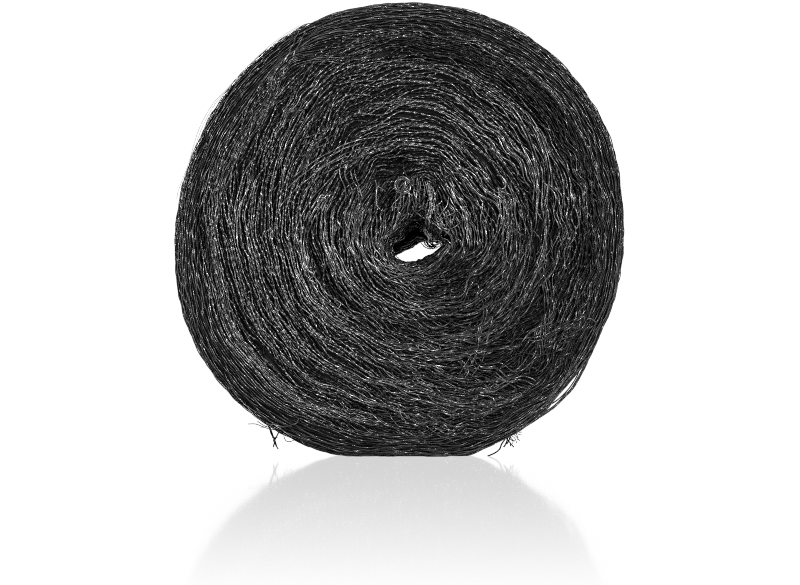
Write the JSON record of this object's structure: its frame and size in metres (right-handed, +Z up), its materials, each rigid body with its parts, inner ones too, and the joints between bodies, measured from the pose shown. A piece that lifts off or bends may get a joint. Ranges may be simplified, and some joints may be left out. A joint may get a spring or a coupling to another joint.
{
  "type": "roll of pond netting",
  "caption": "Roll of black pond netting: a long fine net gathered into a soft strip and wound on itself, standing on its edge, with a crushed hole through its middle.",
  "frame": {"origin": "on the floor, under the middle of the roll's box", "axes": "+Z up; Y along the roll's axis, with the end face of the picture towards -Y; +X to the right in that view"},
  "size_m": [0.2826, 0.103, 0.2845],
  "materials": {
    "net": "black knotless polymer net, twisted strands with a soft gloss"
  },
  "bodies": {
    "root": {"net_roll": "net"}
  },
  "joints": []
}
